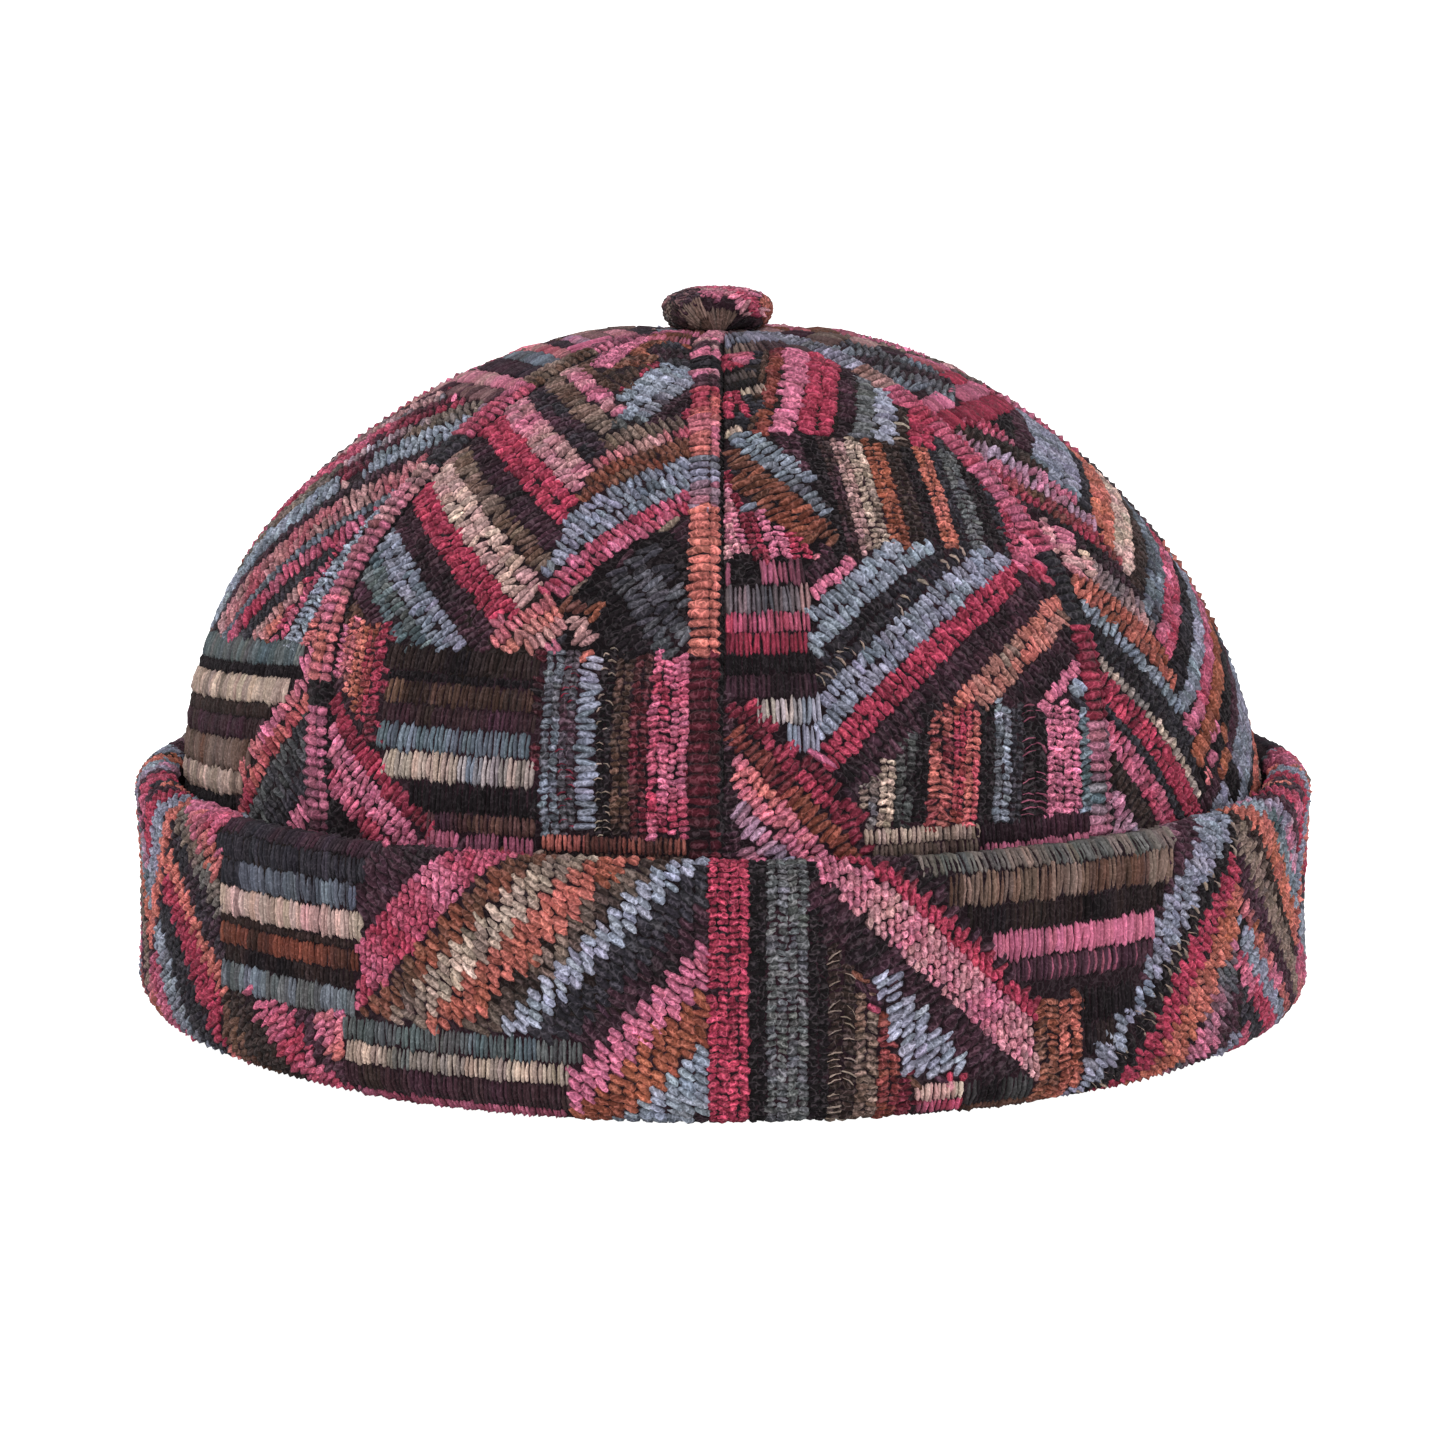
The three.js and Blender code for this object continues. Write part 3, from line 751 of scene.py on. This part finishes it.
def seat_on_panel(laid, tree, middle, outline):
    """Points on the cloth and two directions along it, for the stitches that the panel carries."""
    step = 0.7
    seats = []
    kept = []

    def way(spot, x, y, dx, dy):
        """The way from a point to its neighbour, or from the neighbour on its other side."""
        ahead = panel_point(tree, middle, outline, x + dx, y + dy)
        if ahead:
            return ahead - spot
        behind = panel_point(tree, middle, outline, x - dx, y - dy)
        return spot - behind if behind else None

    for index, (x, y) in enumerate(zip(laid["x"], laid["y"])):
        spot = panel_point(tree, middle, outline, x, y)
        if spot is None:
            continue
        side = way(spot, x, y, step, 0)
        rise = way(spot, x, y, 0, step)
        if side is None or rise is None:
            continue
        seats.append((spot, side.normalized(), rise.normalized()))
        kept.append(index)
    places = np.array(seats)
    return laid[kept], places[:, 0], places[:, 1], places[:, 2]


def cuff_section():
    """The cuff's outer skin in section, from under the fold, up the wall and over the rim."""
    outer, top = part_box("cuff")[1].x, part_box("cuff")[1].z
    roll, fold = CUFF_RIM_ROLL * MM, CUFF_FOLD * MM
    points = [(outer - fold - CUFF_UNDER * MM, 0)]
    for angle in np.radians(np.linspace(-90, 0, CUFF_POINTS["fold"])):
        points.append((outer - fold + fold * math.cos(angle), fold + fold * math.sin(angle)))
    for share in np.linspace(0, 1, CUFF_POINTS["wall"])[1:-1]:
        waist = 2 * share * (1 - share) * CUFF_WAIST * MM
        points.append((outer - waist, fold + share * (top - roll - fold)))
    for angle in np.radians(np.linspace(0, CUFF_OVER, CUFF_POINTS["rim"])):
        points.append((outer - roll + roll * math.cos(angle), top - roll + roll * math.sin(angle)))
    points = np.array(points)
    lengths = np.concatenate([[0], np.cumsum(np.hypot(*np.diff(points, axis=0).T))])
    return {"y": lengths / MM - CUFF_UNDER, "radius": points[:, 0], "height": points[:, 1]}


def on_cuff(x, y, height, section):
    """Points at a height above the cuff's skin; x and y run along the skin, in millimetres."""
    step = 0.3
    tiny = 1e-9
    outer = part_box("cuff")[1].x / MM

    def skin(at):
        return np.stack([np.interp(at, section["y"], section[name]) for name in ("radius", "height")], -1)

    height = height - GROUND_DEPTH
    spot = skin(y)
    climb = skin(y + step) - skin(y - step)
    climb /= np.linalg.norm(climb, axis=-1)[..., None] + tiny
    radius = spot[..., 0] + climb[..., 1] * height * MM
    level = spot[..., 1] - climb[..., 0] * height * MM
    return np.stack([radius * np.sin(x / outer), -radius * np.cos(x / outer), level], -1)


def model_stitch():
    """One stitch, modelled once: a soft bead along X with blunt ends that dip, and its painted shade, which
    darkens its colour towards its foot and its ends."""
    bpy.ops.object.select_all(action="DESELECT")
    bpy.ops.mesh.primitive_uv_sphere_add(segments=4, ring_count=4, radius=1, rotation=(0, math.pi / 2, 0))
    bead = bpy.context.object
    bpy.ops.object.transform_apply(location=False, rotation=True, scale=False)
    bpy.ops.object.mode_set(mode="EDIT")
    bpy.ops.mesh.select_all(action="SELECT")
    bpy.ops.mesh.quads_convert_to_tris()
    bpy.ops.object.mode_set(mode="OBJECT")
    points = np.array([vertex.co for vertex in bead.data.vertices])
    faces = [list(face.vertices) for face in bead.data.polygons]
    bpy.data.objects.remove(bead)

    # The triangles come in no fixed order, so each is turned to its lowest corner first and all are sorted
    starts = [face.index(min(face)) for face in faces]
    corners = np.array(sorted(face[start:] + face[:start] for face, start in zip(faces, starts)))
    reach = np.minimum(np.abs(points[:, :1]), BEAD_TIP)
    points[:, 1:] *= (1 - reach**3) ** (1 / 3) / np.sqrt(1 - reach**2)
    # Painted shade: the colour darkens below the bead's middle and towards its ends, where its neighbours
    # shade it
    lit = np.clip((points[:, 2] + BEAD_FOOT) / BEAD_LIT, 0, 1)
    light = lit * (1 - BEAD_END_SHADE * reach[:, 0] ** 4)
    points[:, 2] -= BEAD_DIP * points[:, 0] ** 2
    return {"points": points, "corners": corners, "light": light}


def bead_offsets(bead, laid, rng):
    """Every bead stretched, turned and bent: its corners along x, along y and out of the cloth."""
    count = len(laid)
    size = np.exp(rng.normal(0, SIZE_STRAY, (count, 3)))
    shape = bead["points"][None]
    long = shape[..., 0] * (laid["long"] * size[:, 0] / 2)[:, None]
    bend = laid["bend"][:, None] * (1 - shape[..., 0] ** 2)
    wide = shape[..., 1] * (laid["wide"] * size[:, 1] / 2)[:, None] + bend
    high = shape[..., 2] * (laid["high"] * size[:, 2])[:, None]
    high = high + long * rng.normal(*TILT, count)[:, None]
    high = high + (STITCH_SEAT + rng.normal(0, SEAT_STRAY, count))[:, None]
    cos, sin = np.cos(laid["turn"])[:, None], np.sin(laid["turn"])[:, None]
    offsets = np.stack([long * cos - wide * sin, long * sin + wide * cos, high])
    rough = (laid["wide"] > DASH_WIDTH)[:, None]
    return offsets + rng.normal(0, STITCH_ROUGHNESS, offsets.shape) * rough


def on_frames(offsets, spot, side, rise):
    """The beads' corners on the cloth, from a point and two directions for each bead."""
    normal = np.cross(side, rise)
    normal /= np.linalg.norm(normal, axis=1)[:, None]
    rise = np.cross(normal, side)
    points = spot[:, None, :].repeat(offsets.shape[2], 1)
    for offset, way in zip(offsets, (side, rise, normal)):
        points = points + offset[..., None] * way[:, None, :] * MM
    return points


def stitched_piece(name, yarn, bead, laid, points):
    """One piece of all the stitches, which carry their colours, painted shade and fuzz."""
    count, shape = points.shape[:2]
    points = points.reshape(-1, 3)
    points[:, 2] = np.maximum(points[:, 2], TABLE_GAP * MM)
    corners = bead["corners"]
    faces = (corners[None] + (np.arange(count) * shape)[:, None, None]).reshape(-1, 3)
    mesh = bpy.data.meshes.new(name)
    mesh.vertices.add(len(points))
    mesh.vertices.foreach_set("co", points.ravel())
    mesh.loops.add(faces.size)
    mesh.loops.foreach_set("vertex_index", faces.ravel())
    mesh.polygons.add(len(faces))
    mesh.polygons.foreach_set("loop_start", np.arange(0, faces.size, 3))
    mesh.update(calc_edges=True)
    mesh.shade_smooth()

    tones = np.ones((count, shape, 4))
    tones[:, :, :3] = laid["tone"][:, None, :]
    # The colour's fourth channel holds the bead's painted shade
    tones[:, :, 3] = bead["light"]
    shades = mesh.color_attributes.new("yarn_tone", "FLOAT_COLOR", "POINT")
    shades.data.foreach_set("color", tones.ravel())

    fuzz = mesh.attributes.new("fuzz", "FLOAT", "POINT")
    fuzz.data.foreach_set("value", np.repeat(laid["fuzz"], shape))
    mesh.materials.append(yarn)
    new_piece(name, mesh)


def new_piece(name, mesh):
    piece = bpy.data.objects.new(name, mesh)
    bpy.context.scene.collection.objects.link(piece)
    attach(piece, "root")
    return piece


def cloth_backing(node, ground, levels, centre):
    """The woven ground of one piece: its solid, merged and rounded, with its cut edges kept crisp. Its
    outer side lies a little deeper than the solid's, to leave room for the stitches. Returns its skin."""
    piece = new_piece(f"{node}_cloth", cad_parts[node].data.copy())
    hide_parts(node)
    bpy.ops.object.select_all(action="DESELECT")
    bpy.context.view_layer.objects.active = piece
    piece.select_set(True)
    bpy.ops.object.mode_set(mode="EDIT")
    bpy.ops.mesh.select_all(action="SELECT")
    bpy.ops.mesh.remove_doubles(threshold=MERGE * MM)
    bpy.ops.mesh.tris_convert_to_quads(face_threshold=QUAD_BEND, shape_threshold=QUAD_SKEW)
    bpy.ops.mesh.select_all(action="DESELECT")
    bpy.ops.mesh.select_mode(type="EDGE")
    bpy.ops.mesh.edges_select_sharp(sharpness=CRISP)
    bpy.ops.transform.edge_crease(value=1)
    bpy.ops.mesh.select_mode(type="FACE")
    bpy.ops.mesh.select_all(action="DESELECT")
    bpy.ops.object.mode_set(mode="OBJECT")
    for face in piece.data.polygons:
        face.select = face.normal.dot((face.center - centre(face.center)).normalized()) > FACING
    outside = {corner for face in piece.data.polygons if face.select for corner in face.vertices}
    for corner in outside:
        place = piece.data.vertices[corner].co
        place -= (place - centre(place)).normalized() * GROUND_DEPTH * MM
    # The reverse is the inner side; the outer side's ground is darkened with painted shade in its material
    reverse = piece.data.attributes.new("reverse", "FLOAT", "POINT")
    reverse.data.foreach_set("value", [corner not in outside for corner in range(len(reverse.data))])
    if levels:
        rounded = piece.modifiers.new("rounded", "SUBSURF")
        rounded.levels = rounded.render_levels = levels
        bpy.ops.object.modifier_apply(modifier="rounded")
    bpy.ops.object.shade_smooth_by_angle(angle=SMOOTH)
    piece.data.materials.clear()
    piece.data.materials.append(ground)
    points = [vertex.co.copy() for vertex in piece.data.vertices]
    return BVHTree.FromPolygons(points, [list(face.vertices) for face in piece.data.polygons])


def attribute(tree, name):
    node = tree.nodes.new("ShaderNodeAttribute")
    node.attribute_name = name
    return node.outputs


def ranged(tree, source, low, high, start=0, end=1):
    """A value taken from start and end to low and high, and held between them."""
    span = tree.nodes.new("ShaderNodeMapRange")
    for name, value in zip(("From Min", "From Max", "To Min", "To Max"), (start, end, low, high)):
        span.inputs[name].default_value = value
    tree.links.new(source, span.inputs["Value"])
    return span.outputs[0]


def scaled(tree, colour, factor):
    """A colour made lighter or darker."""
    shade = tree.nodes.new("ShaderNodeVectorMath")
    shade.operation = "SCALE"
    if isinstance(colour, tuple):
        shade.inputs[0].default_value = colour
    else:
        tree.links.new(colour, shade.inputs[0])
    tree.links.new(factor, shade.inputs["Scale"])
    return shade.outputs[0]


def fibre_group():
    """Fibres of a soft yarn: a heather of light and dark specks, and curled hairs, painted as lines of
    highlight with darker yarn between.
    """
    group = bpy.data.node_groups.new("fibres", "ShaderNodeTree")
    for name, kind in (("Tone", "Color"), ("Place", "Vector"), ("Heather", "Float"), ("Curls", "Float")):
        group.interface.new_socket(name, in_out="INPUT", socket_type=f"NodeSocket{kind}")
    group.interface.new_socket("Colour", in_out="OUTPUT", socket_type="NodeSocketColor")
    group.interface.new_socket("Height", in_out="OUTPUT", socket_type="NodeSocketFloat")
    nodes, links = group.nodes, group.links
    given, result = nodes.new("NodeGroupInput"), nodes.new("NodeGroupOutput")

    def noise(scale, detail):
        texture = nodes.new("ShaderNodeTexNoise")
        texture.inputs["Scale"].default_value = scale
        texture.inputs["Detail"].default_value = detail
        links.new(given.outputs["Place"], texture.inputs["Vector"])
        return texture.outputs["Fac"]

    def combined(operation, first, second, third=None):
        sum_node = nodes.new("ShaderNodeMath")
        sum_node.operation = operation
        for socket, source in zip(sum_node.inputs, (first, second, third)):
            if isinstance(source, (int, float)):
                socket.default_value = source
            elif source is not None:
                links.new(source, socket)
        return sum_node.outputs[0]

    speck = ranged(group, noise(SPECK_SCALE, detail=2), -1, 1, start=0.3, end=0.7)
    mottle = combined("MULTIPLY_ADD", speck, given.outputs["Heather"], 1)
    ridge = combined("ABSOLUTE", combined("SUBTRACT", noise(HAIR_SCALE, detail=1), 0.5), 0)
    curl = ranged(group, ridge, 1, -0.35, start=0.015, end=0.07)
    hairs = combined("MULTIPLY", curl, given.outputs["Curls"])
    shade = scaled(group, given.outputs["Tone"], combined("ADD", mottle, hairs))
    # Painted highlight: a little whitish light added along the hairs' lines
    painted_highlight = scaled(group, HAIR_PAINTED_HIGHLIGHT, combined("MAXIMUM", hairs, 0))
    lifted = nodes.new("ShaderNodeVectorMath")
    lifted.operation = "ADD"
    links.new(shade, lifted.inputs[0])
    links.new(painted_highlight, lifted.inputs[1])
    links.new(lifted.outputs[0], result.inputs["Colour"])
    links.new(combined("ADD", speck, curl), result.inputs["Height"])
    return group


def soft_material(name, fibres, roughness, sheen, bump, depth):
    """A rough cloth with the fibres on it, and its node tree, fibres, places and shader."""
    material = bpy.data.materials.new(name)
    material.use_nodes = True
    tree = material.node_tree
    shader = tree.nodes["Principled BSDF"]
    shader.inputs["Roughness"].default_value = roughness
    shader.inputs["Specular IOR Level"].default_value = 0.12
    shader.inputs["Sheen Weight"].default_value = sheen
    shader.inputs["Sheen Roughness"].default_value = 0.45
    place = tree.nodes.new("ShaderNodeTexCoord").outputs["Object"]
    spin = tree.nodes.new("ShaderNodeGroup")
    spin.node_tree = fibres
    tree.links.new(place, spin.inputs["Place"])
    relief = tree.nodes.new("ShaderNodeBump")
    relief.inputs["Strength"].default_value = bump
    relief.inputs["Distance"].default_value = depth * MM
    tree.links.new(spin.outputs["Height"], relief.inputs["Height"])
    tree.links.new(relief.outputs["Normal"], shader.inputs["Normal"])
    return material, tree, spin, place, shader


def yarn_material(fibres):
    """The yarn of the stitches, in the tone, painted shade and fuzz that each stitch carries."""
    material, tree, spin, _, shader = soft_material(
        "stitched_yarn", fibres, roughness=0.85, sheen=0.04, bump=0.5, depth=0.12)
    tone = attribute(tree, "yarn_tone")
    fuzz = attribute(tree, "fuzz")["Fac"]
    for name, strength in (("Heather", 0.4), ("Curls", 0.55)):
        weakened = tree.nodes.new("ShaderNodeMath")
        weakened.operation = "MULTIPLY"
        weakened.inputs[1].default_value = strength
        tree.links.new(fuzz, weakened.inputs[0])
        tree.links.new(weakened.outputs[0], spin.inputs[name])
    tree.links.new(tone["Color"], spin.inputs["Tone"])
    # Painted shade: each bead's colour is darkened towards its foot and ends, by the fourth channel of its
    # colour attribute
    shaded = scaled(tree, spin.outputs["Colour"], ranged(tree, tone["Alpha"], FOOT_PAINTED_SHADE, 1))
    tree.links.new(shaded, shader.inputs["Base Color"])
    return material


def ground_material(fibres):
    """The dark woven ground between the stitches, darkened further with painted shade, and the cloth's
    reverse.
    """
    material, tree, spin, place, shader = soft_material(
        "woven_ground", fibres, roughness=0.95, sheen=0.03, bump=0.6, depth=0.3)
    areas = tree.nodes.new("ShaderNodeTexVoronoi")
    areas.inputs["Scale"].default_value = GROUND_AREAS
    tree.links.new(place, areas.inputs["Vector"])
    tones = tree.nodes.new("ShaderNodeValToRGB")
    for index, yarn in enumerate(GROUND_YARNS):
        stop = tones.color_ramp.elements[index] if index < 2 else tones.color_ramp.elements.new(0)
        stop.position = index / len(GROUND_YARNS)
        stop.color = (*linear(YARNS[yarn]), 1)
    tree.links.new(areas.outputs["Color"], tones.inputs["Fac"])
    # Painted shade: the ground outside, between the stitches, is darkened; on the reverse it is lighter
    light = ranged(tree, attribute(tree, "reverse")["Fac"], GROUND_PAINTED_SHADE, REVERSE_SHADE)
    spin.inputs["Heather"].default_value = 0.35
    spin.inputs["Curls"].default_value = 0.3
    tree.links.new(scaled(tree, tones.outputs["Color"], light), spin.inputs["Tone"])
    tree.links.new(spin.outputs["Colour"], shader.inputs["Base Color"])
    return material


def make_crown(bead, yarn, ground):
    foot = Vector((0, 0, CHART_ZERO))
    trees = {
        index: cloth_backing(f"crown_panel_{index}", ground, 1, lambda place: foot)
        for index in range(1, PANELS + 1)
    }
    outline = measure_outline(trees)
    for index, (chart, lap) in PANEL_CHARTS.items():
        rng = np.random.default_rng(index)
        middle = (index - 0.5) * PANEL_ANGLE
        edges = measure_edges(trees[index], middle, outline)
        field = lay_chart(chart, lay_rows, rng)
        left = np.interp(field["y"], edges[:, 0], edges[:, 1])
        right = np.interp(field["y"], edges[:, 0], edges[:, 2]) - LAP_WIDTH
        within = (field["x"] > left - SEAM_TUCK) & (field["x"] < right + SEAM_TUCK)
        within &= (field["y"] > CLOTH_FOOT) & (field["y"] < outline["y"][-1])
        field["x"] = np.clip(field["x"], left + FIELD_INSET[0], right - FIELD_INSET[1])
        laid = np.concatenate([field[within], lay_lap(lap, edges, rng)])
        laid, spot, side, rise = seat_on_panel(laid, trees[index], middle, outline)
        points = on_frames(bead_offsets(bead, laid, rng), spot, side, rise)
        stitched_piece(f"crown_panel_{index}_stitches", yarn, bead, laid, points)


def make_cuff(bead, yarn, ground):
    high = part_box("cuff")[1]

    def middle(place):
        """The nearest point inside the cuff's wall."""
        around = place.xy.normalized() * (high.x - CUFF_RIM_ROLL * MM)
        level = min(max(place.z, CUFF_FOLD * MM), high.z - CUFF_RIM_ROLL * MM)
        return Vector((around.x, around.y, level))

    cloth_backing("cuff", ground, 0, middle)
    rng = np.random.default_rng(CUFF_SEED)
    outer = high.x / MM
    girth = 2 * math.pi * outer
    period = girth / CUFF_REPEATS
    laid = lay_chart(CUFF_CHART, lay_slanted, rng)
    laid = laid[np.abs(laid["x"]) < period / 2]
    turns = []
    for shift in (-period, 0, period):
        turn = laid.copy()
        turn["x"] += shift
        turns.append(turn[np.abs(turn["x"]) < girth / 2])
    laid = np.concatenate(turns)
    # Painted light: the cuff's colours are made lighter than the crown's, as it stands more in the light
    laid["tone"] *= CUFF_PAINTED_LIGHT
    section = cuff_section()
    low, top = section["y"][0] + CUFF_MARGIN, section["y"][-1] - CUFF_MARGIN
    laid = laid[(laid["y"] > low) & (laid["y"] < top)]
    share = (laid["x"] + girth / 2) / girth
    for index in range(CUFF_PIECES):
        here = laid[(share >= index / CUFF_PIECES) & (share < (index + 1) / CUFF_PIECES)]
        along, up, out = bead_offsets(bead, here, rng)
        points = on_cuff(here["x"][:, None] + along, here["y"][:, None] + up, out, section)
        stitched_piece(f"cuff_stitches_{index + 1}", yarn, bead, here, points)


def make_button(bead, yarn, ground):
    low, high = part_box("top_button")
    middle = (low + high) / 2
    tree = cloth_backing("top_button", ground, 2, lambda place: middle)
    centre = Vector((middle.x, 0, high.z - BUTTON_DEPTH * MM))
    rng = np.random.default_rng(BUTTON_SEED)
    laid = lay_chart(BUTTON_CHART, lay_rows, rng)
    for name in ("x", "y"):
        laid[name] *= BUTTON_SCALE
    for name in ("long", "wide"):
        laid[name] *= BUTTON_STITCH
    laid = laid[np.hypot(laid["x"], laid["y"]) < BUTTON_REACH]
    laid["high"] *= BUTTON_RELIEF
    step = 0.3
    kept, seats = [], []
    for index, (x, y) in enumerate(zip(laid["x"], laid["y"])):
        spots = []
        for dx, dy in ((0, 0), (step, 0), (0, step)):
            away = math.hypot(x + dx, y + dy)
            down = away / BUTTON_REACH * BUTTON_WRAP
            azimuth = math.atan2(x + dx, -(y + dy))
            outward = towards(azimuth, math.pi / 2 - down)
            spots.append(tree.ray_cast(centre + outward * RAY_REACH, -outward)[0])
        if None not in spots:
            seats.append((spots[0], (spots[1] - spots[0]).normalized(), (spots[2] - spots[0]).normalized()))
            kept.append(index)
    places = np.array(seats)
    laid = laid[kept]
    points = on_frames(bead_offsets(bead, laid, rng), places[:, 0], places[:, 1], places[:, 2])
    stitched_piece("top_button_stitches", yarn, bead, laid, points)


def make_stage():
    """A white table that sweeps up behind the hat, under four soft lamps."""
    bpy.ops.object.select_all(action="DESELECT")
    bpy.ops.mesh.primitive_plane_add(size=TABLE_SIZE)
    sweep = bpy.context.object
    sweep.name = "white_sweep"
    bpy.ops.object.mode_set(mode="EDIT")
    bpy.ops.mesh.select_mode(type="EDGE")
    bpy.ops.mesh.select_all(action="DESELECT")
    bpy.ops.object.mode_set(mode="OBJECT")
    for edge in sweep.data.edges:
        edge.select = all(sweep.data.vertices[corner].co.y > 0 for corner in edge.vertices)
    bpy.ops.object.mode_set(mode="EDIT")
    for step in range(SWEEP_STEPS):
        climb = math.radians(90) * (step + 0.5) / SWEEP_STEPS
        move = (0, SWEEP_LENGTH * math.cos(climb), SWEEP_LENGTH * math.sin(climb))
        bpy.ops.mesh.extrude_region_move(TRANSFORM_OT_translate={"value": move})
    bpy.ops.mesh.extrude_region_move(TRANSFORM_OT_translate={"value": (0, 0, WALL_HEIGHT)})
    bpy.ops.object.mode_set(mode="OBJECT")
    sweep.data.shade_smooth()
    material = bpy.data.materials.new("white_paper")
    material.use_nodes = True
    shader = material.node_tree.nodes["Principled BSDF"]
    shader.inputs["Base Color"].default_value = (0.8, 0.8, 0.8, 1)
    shader.inputs["Roughness"].default_value = 0.9
    shader.inputs["Emission Color"].default_value = (1, 1, 1, 1)
    path = material.node_tree.nodes.new("ShaderNodeLightPath")
    material.node_tree.links.new(path.outputs["Is Camera Ray"], shader.inputs["Emission Strength"])
    sweep.data.materials.append(material)

    world = bpy.data.worlds.new("studio")
    world.use_nodes = True
    world.node_tree.nodes["Background"].inputs["Color"].default_value = (1, 1, 1, 1)
    seen = world.node_tree.nodes.new("ShaderNodeLightPath")
    strength = ranged(world.node_tree, seen.outputs["Is Camera Ray"], WORLD_LIGHT, 1)
    world.node_tree.links.new(strength, world.node_tree.nodes["Background"].inputs["Strength"])
    bpy.context.scene.world = world
    for name, place, size, power in LAMPS:
        data = bpy.data.lights.new(name, "AREA")
        data.shape = "SQUARE"
        data.size = size
        data.energy = power
        lamp = bpy.data.objects.new(name, data)
        lamp.location = place
        lamp.rotation_euler = (Vector(LAMP_AIM) - Vector(place)).to_track_quat("-Z", "Y").to_euler()
        bpy.context.scene.collection.objects.link(lamp)


def make_camera():
    data = bpy.data.cameras.new("camera")
    data.lens = CAMERA_LENS
    data.sensor_width = 36
    camera = bpy.data.objects.new("camera", data)
    camera.location = CAMERA_PLACE
    camera.rotation_euler = (math.radians(90 - CAMERA_PITCH), 0, 0)
    bpy.context.scene.collection.objects.link(camera)
    bpy.context.scene.camera = camera


make_camera()
make_stage()
bpy.context.scene.view_settings.view_transform = "Standard"

fibres = fibre_group()
yarn = yarn_material(fibres)
ground = ground_material(fibres)
bead = model_stitch()
make_crown(bead, yarn, ground)
make_cuff(bead, yarn, ground)
make_button(bead, yarn, ground)
